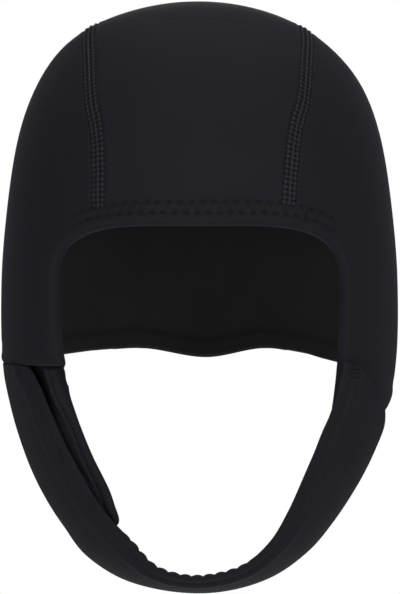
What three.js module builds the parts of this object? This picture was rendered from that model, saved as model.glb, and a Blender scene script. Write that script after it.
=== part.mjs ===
// A neoprene diving cap as it sits on a head: a three-panel crown with ear flaps and a turned hem, and a
// chin strap that is sewn to one flap, passes under the chin and closes with hook and loop on a short tab.
// Millimetres, +Z up. The face looks along -Y and the wearer's left is +X. The origin is the point inside
// the crown that rests on the top of the head.
import * as THREE from "three";

// The head form that the cap is stretched over, measured from ear level
const HALF_WIDTH = { wearersRight: 85.4, wearersLeft: 86.3 };
const FRONT_REACH = 97;
const BACK_REACH = 105;
const CROWN_HEIGHT = 128.9;
const JAW_DEPTH = 96;
const PLAN_POWER = 2.1;
const PROFILE_POWER = 2.76;
const CROWN_ROUNDING = 0.54;
const TEMPLE_DRAW = 0.0195;
const CROWN_LEAN = 0.0072;
const NAPE_TUCK = 0.42;
const TUCK_START = 0.12;

// Cloth
const WALL = 2.5;
const HEM_WALL = 4.6;
const HEM_WIDTH = 8;
const SEAM_GAP = 0.3;
const LAYER_GAP = 0.35;

// The face opening: a round-cornered arch above ear level that draws in slowly below it
const FACE_HALF_WIDTH = { wearersRight: 60.7, wearersLeft: 61.6 };
const CHEEK_DEPTH = { wearersRight: 88, wearersLeft: 145 };
const CHEEK_POWER = 2;
const BROW_HEIGHT = 32.3;
const BROW_POWER = 3.7;
const BROW_DIP = 0.8;

// The two crown seams: degrees over the head from straight ahead, and where each seam lies across it
const SEAMS = [
  { over: 0, wearersRight: -40.5, wearersLeft: 36 },
  { over: 20, wearersRight: -40.5, wearersLeft: 36.1 },
  { over: 36, wearersRight: -40.7, wearersLeft: 38.2 },
  { over: 42.5, wearersRight: -41.8, wearersLeft: 40.1 },
  { over: 48.6, wearersRight: -43.9, wearersLeft: 42.9 },
  { over: 60, wearersRight: -45.2, wearersLeft: 44.7 },
  { over: 72, wearersRight: -46.1, wearersLeft: 45.7 },
  { over: 110, wearersRight: -44, wearersLeft: 44.5 },
  { over: 150, wearersRight: -37.5, wearersLeft: 40 },
  { over: 185, wearersRight: -32, wearersLeft: 36 },
  { over: 215, wearersRight: -30, wearersLeft: 35 },
];

// The lower edge, all the way round: degrees from the face over the wearer's left, and the height there
const LOWER_EDGE = [
  { around: 20, height: -50 },
  { around: 36, height: -49 },
  { around: 60, height: -49 },
  { around: 72, height: -46.5 },
  { around: 86, height: -41 },
  { around: 100, height: -38.5 },
  { around: 122, height: -31 },
  { around: 143, height: -26.3 },
  { around: 161, height: -21.9 },
  { around: 178, height: -26.4 },
  { around: 196, height: -21.9 },
  { around: 216, height: -24 },
  { around: 240, height: -26 },
  { around: 270, height: -26 },
  { around: 322, height: -25.5 },
  { around: 340, height: -25.5 },
];

// The run that the chin pieces lie on, from the seam on the wearer's left under the chin to inside the flap
// on the wearer's right: the outer face's front edge, its middle and its back edge. tabFront says how far
// the tab's front edge stands ahead of the strap's, as a share of the strap's width.
const CHIN_RUN = [
  { front: [58.5, -71.5, -24.5], middle: [68.6, -61.5, -31.4], back: [76.6, -41, -45], tabFront: 0 },
  { front: [56.6, -72.5, -38], middle: [69.5, -58, -45], back: [77.6, -37, -53], tabFront: 0 },
  { front: [51.4, -74, -56.6], middle: [66.1, -55.7, -61.6], back: [73.8, -34, -64.5], tabFront: 0 },
  { front: [45, -77, -72], middle: [59.3, -56.6, -76.6], back: [67, -33, -78.3], tabFront: 0 },
  { front: [38.5, -80, -86.5], middle: [50.6, -59.2, -91], back: [57.7, -36, -92.1], tabFront: 0 },
  { front: [31, -83, -99], middle: [39.7, -62, -103.9], back: [45.8, -39, -105.5], tabFront: 0 },
  { front: [20, -85, -108.7], middle: [25.2, -63.7, -114.4], back: [29.7, -41, -116.6], tabFront: 0 },
  { front: [6.6, -86, -113], middle: [8.6, -65.1, -119.2], back: [9.9, -43, -121.8], tabFront: 0 },
  { front: [-6.6, -86, -113.3], middle: [-9, -65.1, -119.2], back: [-10.9, -43, -121.8], tabFront: 0 },
  { front: [-19.3, -85.3, -108.8], middle: [-25.5, -63.8, -114.6], back: [-30.7, -41, -117.3], tabFront: 0 },
  { front: [-29.2, -82.5, -98.2], middle: [-40.5, -62, -104.6], back: [-47.3, -38, -107.4], tabFront: 0.05 },
  { front: [-37.4, -79, -89.9], middle: [-49.8, -58.5, -94.5], back: [-57, -35, -95.4], tabFront: 0.03 },
  { front: [-45.2, -74, -79.7], middle: [-57.3, -54, -83.7], back: [-64.3, -31, -84.5], tabFront: -0.09 },
  { front: [-53.8, -68.5, -65.2], middle: [-65, -49.5, -69.4], back: [-71.4, -26, -70.8], tabFront: -0.14 },
  { front: [-60.6, -64.5, -52], middle: [-71.2, -46, -53.9], back: [-77.9, -20, -54.1], tabFront: -0.23 },
  { front: [-66.6, -61, -38.3], middle: [-76.1, -41, -38.8], back: [-82.1, -15, -38.7], tabFront: -0.3 },
  { front: [-71, -57, -28.4], middle: [-79.2, -37.5, -28.4], back: [-84, -10, -28.4], tabFront: -0.52 },
  { front: [-73, -55, -14], middle: [-80.8, -35, -14], back: [-85, -7, -14], tabFront: -0.36 },
];
const STRAP_END = 16;
const TAB = { from: 10.75, to: 16.8, backEdge: 0.93 };
const LOOP_PATCH = { from: 11, to: 14.5, inset: 0.05, backEdge: 0.86 };
const HOOK_PATCH = { from: 11.1, to: 14.6, frontEdge: 0.13, backEdge: 0.86 };
const STRAP_WALL = 2.8;
const TAB_WALL = 2.5;
const PATCH_WALL = 0.9;
const TAB_DEPTH = STRAP_WALL + 2 * PATCH_WALL + 3 * LAYER_GAP;

// How finely each piece is divided
const PANEL_ROWS = 30;
const PANEL_COLUMNS = 8;
const SIDE_COLUMNS = 11;
const STRAP_ROWS = 52;
const STRAP_COLUMNS = 8;
const TAB_ROWS = 18;
const CORNER_AROUND = { left: 147, right: 213 };

const UP = new THREE.Vector3(0, 0, 1);
const ACROSS = new THREE.Vector3(1, 0, 0);
const radians = THREE.MathUtils.degToRad;

const materials = {
  jersey: new THREE.MeshStandardMaterial({ color: 0x232228, roughness: 0.85, metalness: 0 }),
  loop: new THREE.MeshStandardMaterial({ color: 0x171719, roughness: 1, metalness: 0 }),
  hook: new THREE.MeshStandardMaterial({ color: 0x141416, roughness: 0.6, metalness: 0 }),
};

// A smooth value read from a table: rows sorted by one column, the answer taken from another
function lookUp(table, key, column, at) {
  let i = 0;
  while (i < table.length - 2 && at > table[i + 1][key]) i++;
  const before = table[Math.max(0, i - 1)];
  const low = table[i];
  const high = table[i + 1];
  const after = table[Math.min(table.length - 1, i + 2)];
  const span = high[key] - low[key];
  const t = THREE.MathUtils.clamp((at - low[key]) / span, 0, 1);
  const slopeLow = ((high[column] - before[column]) / (high[key] - before[key])) * span;
  const slopeHigh = ((after[column] - low[column]) / (after[key] - low[key])) * span;
  const t2 = t * t;
  const t3 = t2 * t;
  return (
    (2 * t3 - 3 * t2 + 1) * low[column] +
    (t3 - 2 * t2 + t) * slopeLow +
    (3 * t2 - 2 * t3) * high[column] +
    (t3 - t2) * slopeHigh
  );
}

const sideOf = (x) => (x > 0 ? "wearersLeft" : "wearersRight");
const bell = (t) => Math.exp(-t * t);

// Distance from the middle of the head to the cap's outer face, in one direction
function shellRadius(d) {
  const reach = d.y < 0 ? FRONT_REACH : BACK_REACH;
  const halfWidth = HALF_WIDTH[sideOf(d.x)] * (1 - TEMPLE_DRAW * bell((d.z - 0.535) / 0.313));
  const power = PROFILE_POWER - CROWN_ROUNDING * Math.max(0, d.z) ** 11;
  const plan = Math.abs(d.x / halfWidth) ** PLAN_POWER + Math.abs(d.y / reach) ** PLAN_POWER;
  const profile = Math.abs(d.z / (d.z > 0 ? CROWN_HEIGHT : JAW_DEPTH)) ** power;
  const low = Math.max(0, TUCK_START - d.z);
  const tuck = 1 - NAPE_TUCK * Math.max(0, d.y) * low * low;
  const lean = 1 - CROWN_LEAN * Math.tanh(d.x / 0.3) * bell((d.z - 0.886) / 0.072);
  return (tuck * lean) / (plan ** (power / PLAN_POWER) + profile) ** (1 / power);
}

function shellNormal(d) {
  const step = 2e-3;
  const side = new THREE.Vector3().crossVectors(d, Math.abs(d.z) < 0.8 ? UP : ACROSS).normalize();
  const rise = new THREE.Vector3().crossVectors(side, d).normalize();
  const near = (axis, by) => {
    const moved = d.clone().addScaledVector(axis, by).normalize();
    return moved.multiplyScalar(shellRadius(moved));
  };
  const a = near(side, step).sub(near(side, -step));
  const b = near(rise, step).sub(near(rise, -step));
  const normal = a.cross(b).normalize();
  return normal.dot(d) < 0 ? normal.negate() : normal;
}

function shellPoint(d, lift = 0) {
  const point = d.clone().multiplyScalar(shellRadius(d));
  return lift ? point.addScaledVector(shellNormal(d), lift) : point;
}

// The direction at an angle over the head whose outer point lies at x
function directionOver(over, x) {
  const d = new THREE.Vector3();
  let lateral = 0;
  for (let k = 0; k < 14; k++) {
    const ahead = Math.cos(lateral);
    d.set(Math.sin(lateral), -ahead * Math.cos(radians(over)), ahead * Math.sin(radians(over)));
    lateral = Math.asin(THREE.MathUtils.clamp(x / shellRadius(d), -1, 1));
  }
  return d;
}

// The direction at an angle round the head whose outer point lies at a height
function directionAround(around, height) {
  const d = new THREE.Vector3();
  let rise = 0;
  for (let k = 0; k < 14; k++) {
    const out = Math.cos(rise);
    d.set(out * Math.sin(radians(around)), -out * Math.cos(radians(around)), Math.sin(rise));
    rise = Math.asin(THREE.MathUtils.clamp(height / shellRadius(d), -1, 1));
  }
  return d;
}

function halve(low, high, isHigh) {
  for (let k = 0; k < 40; k++) {
    const middle = (low + high) / 2;
    if (isHigh(middle)) high = middle;
    else low = middle;
  }
  return (low + high) / 2;
}

// The direction of the front point that shows at x and z from straight ahead
function directionFacing(x, z) {
  const ahead = halve(10, 130, (y) => {
    const point = new THREE.Vector3(x, -y, z);
    const reach = point.length();
    return reach > shellRadius(point.normalize());
  });
  return new THREE.Vector3(x, -ahead, z).normalize();
}

function aroundOf(point) {
  const degrees = THREE.MathUtils.radToDeg(Math.atan2(point.x, -point.y));
  return degrees < 0 ? degrees + 360 : degrees;
}

function lowerHeight(around) {
  return lookUp(LOWER_EDGE, "around", "height", around);
}

function seamX(side, over) {
  return lookUp(SEAMS, "over", sideOf(side), over);
}

const browDip = (x) => BROW_DIP * Math.max(0, Math.cos((x / 50) * Math.PI * 0.5)) ** 2;

function browHeight(x) {
  const share = Math.abs(x / FACE_HALF_WIDTH[sideOf(x)]);
  return BROW_HEIGHT * (1 - share ** BROW_POWER) ** (1 / BROW_POWER) - browDip(x);
}

// The face opening's edge at an angle up from the ear, as seen from straight ahead
function faceEdge(side, angle) {
  const depth = angle > 0 ? BROW_HEIGHT : CHEEK_DEPTH[sideOf(side)];
  const power = angle > 0 ? BROW_POWER : CHEEK_POWER;
  const across = Math.abs(Math.cos(angle) / FACE_HALF_WIDTH[sideOf(side)]) ** power;
  const up = Math.abs(Math.sin(angle) / depth) ** power;
  const reach = 1 / (across + up) ** (1 / power);
  const x = reach * Math.cos(angle);
  return directionFacing(side * x, reach * Math.sin(angle) - (angle > 0 ? browDip(x) : 0));
}

// Where a line over the head at x meets the brow edge and the lower edge, in degrees over the head
function browOver(x) {
  const d = directionFacing(x, browHeight(x));
  return THREE.MathUtils.radToDeg(Math.atan2(d.z, -d.y));
}

function napeOver(x) {
  return halve(150, 225, (over) => {
    const point = shellPoint(directionOver(over, x));
    return point.z < lowerHeight(aroundOf(point));
  });
}

// Shares from 0 to 1 with two finer steps at each hemmed end
function sharesWithHems(count, length, hemStart, hemEnd) {
  const hem = HEM_WIDTH / length;
  const start = hemStart ? [0, hem * 0.7, hem * 1.25] : [0];
  const end = hemEnd ? [1 - hem * 1.25, 1 - hem * 0.7, 1] : [1];
  const from = start.at(-1);
  const to = end[0];
  const inner = Array.from({ length: count - 1 }, (_, i) => from + ((to - from) * (i + 1)) / count);
  return [...start, ...inner, ...end];
}

// The wall at a place in a grid: full hem thickness on the two outermost lines of each hemmed border
function hemWall(i, j, hemmed) {
  return hemmed.some(([line, border]) => Math.abs((line === "row" ? i : j) - border) < 2) ? HEM_WALL : WALL;
}

// A closed piece of cloth between an outer and an inner grid of points. A rounded border bulges a little.
function slab(outer, inner, rounded = {}) {
  const rows = outer.length;
  const columns = outer[0].length;
  const points = [];
  const faces = [];
  const add = (p) => points.push(p) - 1;
  const outerIds = outer.map((row) => row.map(add));
  const innerIds = inner.map((row) => row.map(add));
  for (let i = 0; i + 1 < rows; i++)
    for (let j = 0; j + 1 < columns; j++) {
      const [a, b, c, d] = [outerIds[i][j], outerIds[i][j + 1], outerIds[i + 1][j + 1], outerIds[i + 1][j]];
      faces.push([a, b, c], [a, c, d]);
      const [e, f, g, h] = [innerIds[i][j], innerIds[i][j + 1], innerIds[i + 1][j + 1], innerIds[i + 1][j]];
      faces.push([e, g, f], [e, h, g]);
    }
  // The border, as one ring of grid places, each with the step that leads out of the grid there
  const ring = [];
  for (let j = 0; j < columns - 1; j++) ring.push([0, j, "start"]);
  for (let i = 0; i < rows - 1; i++) ring.push([i, columns - 1, "last"]);
  for (let j = columns - 1; j > 0; j--) ring.push([rows - 1, j, "end"]);
  for (let i = rows - 1; i > 0; i--) ring.push([i, 0, "first"]);
  const inwards = { start: [1, 0], end: [-1, 0], first: [0, 1], last: [0, -1] };
  const sidesOf = (i, j) =>
    Object.entries({ start: i === 0, end: i === rows - 1, first: j === 0, last: j === columns - 1 })
      .filter(([, is]) => is)
      .map(([name]) => name);
  const middleIds = ring.map(([i, j]) => {
    const middle = outer[i][j].clone().lerp(inner[i][j], 0.5);
    const half = outer[i][j].distanceTo(inner[i][j]) / 2;
    for (const name of sidesOf(i, j)) {
      if (!rounded[name]) continue;
      const [di, dj] = inwards[name];
      const out = outer[i][j].clone().sub(outer[i + di][j + dj]).normalize();
      middle.addScaledVector(out, half * rounded[name]);
    }
    return add(middle);
  });
  ring.forEach(([i, j], k) => {
    const next = (k + 1) % ring.length;
    const [ni, nj] = ring[next];
    const [a, b] = [outerIds[i][j], outerIds[ni][nj]];
    const [m, n] = [middleIds[k], middleIds[next]];
    const [e, f] = [innerIds[i][j], innerIds[ni][nj]];
    faces.push([a, m, n], [a, n, b], [m, e, f], [m, f, n]);
  });
  let volume = 0;
  for (const [a, b, c] of faces) volume += points[a].dot(new THREE.Vector3().crossVectors(points[b], points[c]));
  if (volume < 0) faces.forEach((face) => face.reverse());
  const geometry = new THREE.BufferGeometry();
  geometry.setAttribute("position", new THREE.Float32BufferAttribute(points.flatMap((p) => p.toArray()), 3));
  geometry.setIndex(faces.flat());
  geometry.computeVertexNormals();
  return geometry;
}

// The strip of crown between the two seams, from the brow over the top to the nape
function centrePanel() {
  const length = 325;
  const along = sharesWithHems(PANEL_ROWS, length, true, true);
  const across = Array.from({ length: PANEL_COLUMNS + 1 }, (_, j) => j / PANEL_COLUMNS);
  const edgeX = (side, over) => seamX(side, over) - side * SEAM_GAP * 0.5;
  const ends = [-1, 1].map((side) => {
    const from = halve(5, 40, (over) => shellPoint(directionOver(over, edgeX(side, over))).z > browHeight(edgeX(side, over)));
    const to = halve(160, 225, (over) => {
      const point = shellPoint(directionOver(over, edgeX(side, over)));
      return point.z < lowerHeight(aroundOf(point));
    });
    return { from, to };
  });
  const columns = across.map((t) => {
    const startX = THREE.MathUtils.lerp(edgeX(-1, ends[0].from), edgeX(1, ends[1].from), t);
    const endX = THREE.MathUtils.lerp(edgeX(-1, ends[0].to), edgeX(1, ends[1].to), t);
    return { t, from: browOver(startX), to: napeOver(endX) };
  });
  const directions = along.map((s) =>
    columns.map(({ t, from, to }) => {
      const over = THREE.MathUtils.lerp(from, to, s);
      return directionOver(over, THREE.MathUtils.lerp(edgeX(-1, over), edgeX(1, over), t));
    }),
  );
  const outer = directions.map((row) => row.map((d) => shellPoint(d)));
  const hemmed = [["row", 0], ["row", outer.length - 1]];
  const inner = directions.map((row, i) => row.map((d, j) => shellPoint(d, -hemWall(i, j, hemmed))));
  return slab(outer, inner, { start: 0.7, end: 0.7 });
}

// One side of the crown with its ear flap: the seam above, the face opening in front, the lower edge below
function sidePanel(side) {
  const along = sharesWithHems(PANEL_ROWS, 300, true, true);
  const edgeX = (over) => seamX(side, over) + side * SEAM_GAP * 0.5;
  const from = halve(5, 40, (over) => shellPoint(directionOver(over, edgeX(over))).z > browHeight(edgeX(over)));
  const to = halve(160, 225, (over) => {
    const point = shellPoint(directionOver(over, edgeX(over)));
    return point.z < lowerHeight(aroundOf(point));
  });
  const seam = (s) => {
    const over = THREE.MathUtils.lerp(from, to, s);
    return directionOver(over, edgeX(over));
  };
  const first = seam(0).multiplyScalar(shellRadius(seam(0)));
  const topAngle = Math.atan2(first.z + browDip(first.x), Math.abs(first.x));
  const lowAngle = -halve(0.05, 1.2, (angle) => {
    const point = shellPoint(faceEdge(side, -angle));
    return point.z < lowerHeight(aroundOf(point));
  });
  const front = (t) => faceEdge(side, THREE.MathUtils.lerp(topAngle, lowAngle, t));
  const frontAround = aroundOf(front(1));
  const napeAround = aroundOf(seam(1));
  const corner = side > 0 ? CORNER_AROUND.left : CORNER_AROUND.right;
  const lowerAt = (around) => directionAround(around, lowerHeight(around));
  const lower = (s) => lowerAt(THREE.MathUtils.lerp(frontAround, corner, s));
  const nape = (t) => lowerAt(THREE.MathUtils.lerp(napeAround, corner, t));
  const place = (s, t) => {
    const sum = new THREE.Vector3();
    sum.addScaledVector(seam(s), 1 - t).addScaledVector(lower(s), t);
    sum.addScaledVector(front(t), 1 - s).addScaledVector(nape(t), s);
    sum.addScaledVector(seam(0), -(1 - s) * (1 - t)).addScaledVector(seam(1), -s * (1 - t));
    sum.addScaledVector(lower(0), -(1 - s) * t).addScaledVector(lower(1), -s * t);
    return sum.normalize();
  };
  const lengthOf = (line) => {
    const points = Array.from({ length: 13 }, (_, k) => shellPoint(line(k / 12)));
    return points.slice(1).reduce((sum, point, k) => sum + point.distanceTo(points[k]), 0);
  };
  const down = along.map((s) => sharesWithHems(SIDE_COLUMNS, lengthOf((t) => place(s, t)), false, true));
  const rowLength = Array.from({ length: 5 }, (_, k) => lengthOf((s) => place(s, k / 4)));
  const directions = along.map((_, i) =>
    down[i].map((t) => {
      const k = Math.min(3, Math.floor(t * 4));
      const length = THREE.MathUtils.lerp(rowLength[k], rowLength[k + 1], t * 4 - k);
      return place(sharesWithHems(PANEL_ROWS, length, true, true)[i], t);
    }),
  );
  const outer = directions.map((row) => row.map((d) => shellPoint(d)));
  const hemmed = [["row", 0], ["row", outer.length - 1], ["column", outer[0].length - 1]];
  const inner = directions.map((row, i) => row.map((d, j) => shellPoint(d, -hemWall(i, j, hemmed))));
  return slab(outer, inner, { start: 0.7, end: 0.7, last: 0.7 });
}

// A share of the way between rows of the run, smooth through all of them
function runValue(key, at, axis) {
  const last = CHIN_RUN.length - 1;
  const i = THREE.MathUtils.clamp(Math.floor(at), 0, last - 1);
  const t = at - i;
  const row = (k) => {
    const value = CHIN_RUN[THREE.MathUtils.clamp(k, 0, last)][key];
    return axis === undefined ? value : value[axis];
  };
  const [p, q, r, w] = [row(i - 1), row(i), row(i + 1), row(i + 2)];
  return q + 0.5 * t * (r - p + t * (2 * p - 5 * q + 4 * r - w + t * (3 * (q - r) + w - p)));
}

const runPoint = (key, at) => new THREE.Vector3(...[0, 1, 2].map((axis) => runValue(key, at, axis)));

// A place on the run's outer face: across is 0 at the front edge and 1 at the back edge. Over the flap on
// the wearer's left the strap rests on the cap.
function runFace(at, across) {
  const point = new THREE.Vector3();
  point.addScaledVector(runPoint("front", at), (1 - across) * (1 - 2 * across));
  point.addScaledVector(runPoint("middle", at), 4 * across * (1 - across));
  point.addScaledVector(runPoint("back", at), across * (2 * across - 1));
  if (at < 3) {
    const reach = point.length();
    const rest = shellRadius(point.clone().normalize()) + STRAP_WALL + LAYER_GAP * 2;
    const over = (rest - reach) / 1.2;
    const push = over > 20 ? rest - reach : 1.2 * Math.log1p(Math.exp(over));
    const hold = THREE.MathUtils.smoothstep(point.z, -62, -47);
    point.multiplyScalar((reach + push * hold) / reach);
  }
  return point;
}

function runNormal(at, across) {
  const along = runFace(at + 0.02, across).sub(runFace(at - 0.02, across));
  const over = runFace(at, across + 0.01).sub(runFace(at, across - 0.01));
  return along.cross(over).normalize();
}

function runLayer(at, across, depth) {
  return runFace(at, across).addScaledVector(runNormal(at, across), -depth);
}

// The tab's upper end lies inside the flap, clear of its hem
function tuckInside(point, below) {
  const reach = point.length();
  const limit = shellRadius(point.clone().normalize()) - 1.06 * (HEM_WALL + 1.6 * LAYER_GAP + below);
  const hold = THREE.MathUtils.smoothstep(point.z, -41, -31);
  return point.multiplyScalar(1 - (hold * Math.max(0, reach - limit)) / reach);
}

// A cloth layer on the run between two depths. The edges function gives its front and back edge at a place.
function chinLayer({ from, to, rows, columns, depth, wall, edges, rounded, shape }) {
  const grid = (below) =>
    Array.from({ length: rows + 1 }, (_, i) => {
      const share = i / rows;
      return Array.from({ length: columns + 1 }, (_, j) => {
        const at = THREE.MathUtils.lerp(from, to, share);
        const [front, back] = edges(at);
        const across = THREE.MathUtils.lerp(front, back, j / columns);
        const point = runLayer(at, across, below);
        return shape ? shape(point, below - depth) : point;
      });
    });
  return slab(grid(depth), grid(depth + wall), rounded);
}

function chinStrap() {
  return chinLayer({
    from: 0,
    to: STRAP_END,
    rows: STRAP_ROWS,
    columns: STRAP_COLUMNS,
    depth: 0,
    wall: STRAP_WALL,
    edges: () => [0, 1],
    rounded: { start: 0.6, end: 0.6, first: 0.8, last: 0.8 },
  });
}

function chinTab() {
  return chinLayer({
    from: TAB.to,
    to: TAB.from,
    rows: TAB_ROWS,
    columns: 7,
    depth: TAB_DEPTH,
    wall: TAB_WALL,
    edges: (at) => [runValue("tabFront", at), TAB.backEdge],
    rounded: { start: 0.6, end: 0.6, first: 0.8, last: 0.8 },
    shape: tuckInside,
  });
}

function loopPatch() {
  return chinLayer({
    from: LOOP_PATCH.from,
    to: LOOP_PATCH.to,
    rows: 12,
    columns: 6,
    depth: TAB_DEPTH - LAYER_GAP - PATCH_WALL,
    wall: PATCH_WALL,
    edges: (at) => [runValue("tabFront", at) + LOOP_PATCH.inset, LOOP_PATCH.backEdge],
  });
}

function hookPatch() {
  return chinLayer({
    from: HOOK_PATCH.from,
    to: HOOK_PATCH.to,
    rows: 12,
    columns: 6,
    depth: STRAP_WALL + LAYER_GAP,
    wall: PATCH_WALL,
    edges: () => [HOOK_PATCH.frontEdge, HOOK_PATCH.backEdge],
  });
}

const cap = new THREE.Group();
cap.position.z = -(CROWN_HEIGHT - WALL);

function addPiece(name, geometry, material) {
  const mesh = new THREE.Mesh(geometry, material);
  mesh.name = name;
  cap.add(mesh);
}

addPiece("centre_panel", centrePanel(), materials.jersey);
addPiece("side_panel_left", sidePanel(1), materials.jersey);
addPiece("side_panel_right", sidePanel(-1), materials.jersey);
addPiece("chin_strap", chinStrap(), materials.jersey);
addPiece("chin_tab", chinTab(), materials.jersey);
addPiece("loop_patch", loopPatch(), materials.loop);
addPiece("hook_patch", hookPatch(), materials.hook);

const root = new THREE.Group();
root.add(cap);

export default root;
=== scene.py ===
import math

import bmesh
import bpy
import numpy as np
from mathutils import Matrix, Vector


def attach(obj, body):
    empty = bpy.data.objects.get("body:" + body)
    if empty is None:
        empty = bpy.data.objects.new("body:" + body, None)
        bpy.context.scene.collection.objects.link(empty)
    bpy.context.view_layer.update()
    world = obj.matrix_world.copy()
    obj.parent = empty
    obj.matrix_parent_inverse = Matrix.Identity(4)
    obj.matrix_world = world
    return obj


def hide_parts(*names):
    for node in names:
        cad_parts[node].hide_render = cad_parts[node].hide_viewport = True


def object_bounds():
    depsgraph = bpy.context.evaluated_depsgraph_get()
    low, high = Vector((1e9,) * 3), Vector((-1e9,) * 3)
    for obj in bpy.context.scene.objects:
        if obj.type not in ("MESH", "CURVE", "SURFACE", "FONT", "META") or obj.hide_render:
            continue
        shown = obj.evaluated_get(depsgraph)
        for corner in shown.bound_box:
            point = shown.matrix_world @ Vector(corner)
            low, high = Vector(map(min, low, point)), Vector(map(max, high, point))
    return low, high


# A neoprene diving cap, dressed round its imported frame. Metres in the scene, millimetres in the tables.

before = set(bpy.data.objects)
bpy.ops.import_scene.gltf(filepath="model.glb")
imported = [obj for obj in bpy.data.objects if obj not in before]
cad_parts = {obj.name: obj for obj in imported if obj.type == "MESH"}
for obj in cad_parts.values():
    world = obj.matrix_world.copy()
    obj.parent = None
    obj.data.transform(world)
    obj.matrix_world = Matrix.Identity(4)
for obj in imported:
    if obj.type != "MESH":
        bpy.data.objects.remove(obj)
cadLow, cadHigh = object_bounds()
scene = bpy.context.scene
mm = 0.001


def addObject(name, data):
    made = bpy.data.objects.new(name, data)
    scene.collection.objects.link(made)
    return made


headForm = {
    "halfWidthRight": 85.4,
    "halfWidthLeft": 86.3,
    "frontReach": 97,
    "backReach": 105,
    "crownHeight": 128.9,
    "jawDepth": 96,
    "planPower": 2.1,
    "profilePower": 2.76,
    "crownRounding": 0.54,
    "crownPower": 11,
    "templeDraw": 0.0195,
    "templeBand": (0.535, 0.313),
    "crownLean": 0.0072,
    "leanBand": (0.886, 0.072),
    "leanWidth": 0.3,
    "napeTuck": 0.42,
    "tuckStart": 0.12,
}
cloth = {
    "wall": 2.5,
    "hemWall": 4.6,
    "hemWidth": 8,
    "foldEnd": (-3, 1.5),  # how far from the hem's width its fold starts and stops thinning
    "napeThinning": 1.4,
    "napeSpan": (10, 55),
    "seamGap": -0.1,  # the panels overlap a little, so the sewn seams are closed
    "layerGap": 0.35,
}
faceOpening = {
    "halfWidthRight": 60.7,
    "halfWidthLeft": 61.6,
    "cheekDepthRight": 88,
    "cheekDepthLeft": 145,
    "cheekPower": 2,
    "browHeight": 32.3,
    "browPower": 3.7,
    "browDip": 0.8,
    "browDipWidth": 50,
}
originHeight = headForm["crownHeight"] - cloth["wall"]

# degrees over the head from straight ahead, x of the seam on the wearer's right and on the wearer's left
seamTable = [
    (0, -40.5, 36), (20, -40.5, 36.1), (36, -40.7, 38.2), (42.5, -41.8, 40.1), (48.6, -43.9, 42.9),
    (60, -45.2, 44.7), (72, -46.1, 45.7), (110, -44, 44.5), (150, -37.5, 40), (185, -32, 36),
    (215, -30, 35),
]
# degrees round the head from the face over the wearer's left, height of the lower edge
lowerEdgeTable = [
    (20, -50), (36, -49), (60, -49), (72, -46.5), (86, -41), (100, -38.5), (122, -31), (143, -26.3),
    (161, -21.9), (178, -26.4), (196, -21.9), (216, -24), (240, -26), (270, -26), (322, -25.5),
    (340, -25.5),
]
# the chin run: front edge, middle and back edge of its outer face, and how far ahead the tab's edge stands
chinRun = [
    ((58.5, -71.5, -24.5), (68.6, -61.5, -31.4), (76.6, -41, -45), 0),
    ((56.6, -72.5, -38), (69.5, -58, -45), (77.6, -37, -53), 0),
    ((51.4, -74, -56.6), (66.1, -55.7, -61.6), (73.8, -34, -64.5), 0),
    ((45, -77, -72), (59.3, -56.6, -76.6), (67, -33, -78.3), 0),
    ((38.5, -80, -86.5), (50.6, -59.2, -91), (57.7, -36, -92.1), 0),
    ((31, -83, -99), (39.7, -62, -103.9), (45.8, -39, -105.5), 0),
    ((20, -85, -108.7), (25.2, -63.7, -114.4), (29.7, -41, -116.6), 0),
    ((6.6, -86, -113), (8.6, -65.1, -119.2), (9.9, -43, -121.8), 0),
    ((-6.6, -86, -113.3), (-9, -65.1, -119.2), (-10.9, -43, -121.8), 0),
    ((-19.3, -85.3, -108.8), (-25.5, -63.8, -114.6), (-30.7, -41, -117.3), 0),
    ((-29.2, -82.5, -98.2), (-40.5, -62, -104.6), (-47.3, -38, -107.4), 0.05),
    ((-37.4, -79, -89.9), (-49.8, -58.5, -94.5), (-57, -35, -95.4), 0.03),
    ((-45.2, -74, -79.7), (-57.3, -54, -83.7), (-64.3, -31, -84.5), -0.09),
    ((-53.8, -68.5, -65.2), (-65, -49.5, -69.4), (-71.4, -26, -70.8), -0.14),
    ((-60.6, -64.5, -52), (-71.2, -46, -53.9), (-77.9, -20, -54.1), -0.23),
    ((-66.6, -61, -38.3), (-76.1, -41, -38.8), (-82.1, -15, -38.7), -0.3),
    ((-71, -57, -28.4), (-79.2, -37.5, -28.4), (-84, -10, -28.4), -0.52),
    ((-73, -55, -14), (-80.8, -35, -14), (-85, -7, -14), -0.36),
]


# Camera
cameraPlan = {"place": (0.65, -1200, 1.3), "halfHeight": 128.9, "sensor": 36, "farthest": 20}
cameraData = bpy.data.cameras.new("camera")
camera = addObject("camera", cameraData)
cameraX, cameraY, cameraZ = cameraPlan["place"]
camera.location = (cameraX * mm, cameraY * mm, (cameraZ - originHeight) * mm)
camera.rotation_euler = (math.pi / 2, 0, 0)
cameraData.sensor_width = cameraPlan["sensor"]
cameraData.lens = cameraPlan["sensor"] / 2 * abs(cameraY) / cameraPlan["halfHeight"]
cameraData.clip_end = cameraPlan["farthest"]
scene.camera = camera
print("camera set")


# Smooth reading of a table: key column 0, value column as asked
def lookUp(table, column, at):
    keys, values = np.array(table, float).T[[0, column]]
    at = np.asarray(at, float)
    i = np.searchsorted(keys[1:-1], at, side="left")
    before = np.maximum(i - 1, 0)
    after = np.minimum(i + 2, len(keys) - 1)
    span = keys[i + 1] - keys[i]
    t = np.clip((at - keys[i]) / span, 0, 1)
    slopeLow = (values[i + 1] - values[before]) / (keys[i + 1] - keys[before]) * span
    slopeHigh = (values[after] - values[i]) / (keys[after] - keys[i]) * span
    t2 = t * t
    t3 = t2 * t
    return (
        (2 * t3 - 3 * t2 + 1) * values[i]
        + (t3 - 2 * t2 + t) * slopeLow
        + (3 * t2 - 2 * t3) * values[i + 1]
        + (t3 - t2) * slopeHigh
    )


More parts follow.
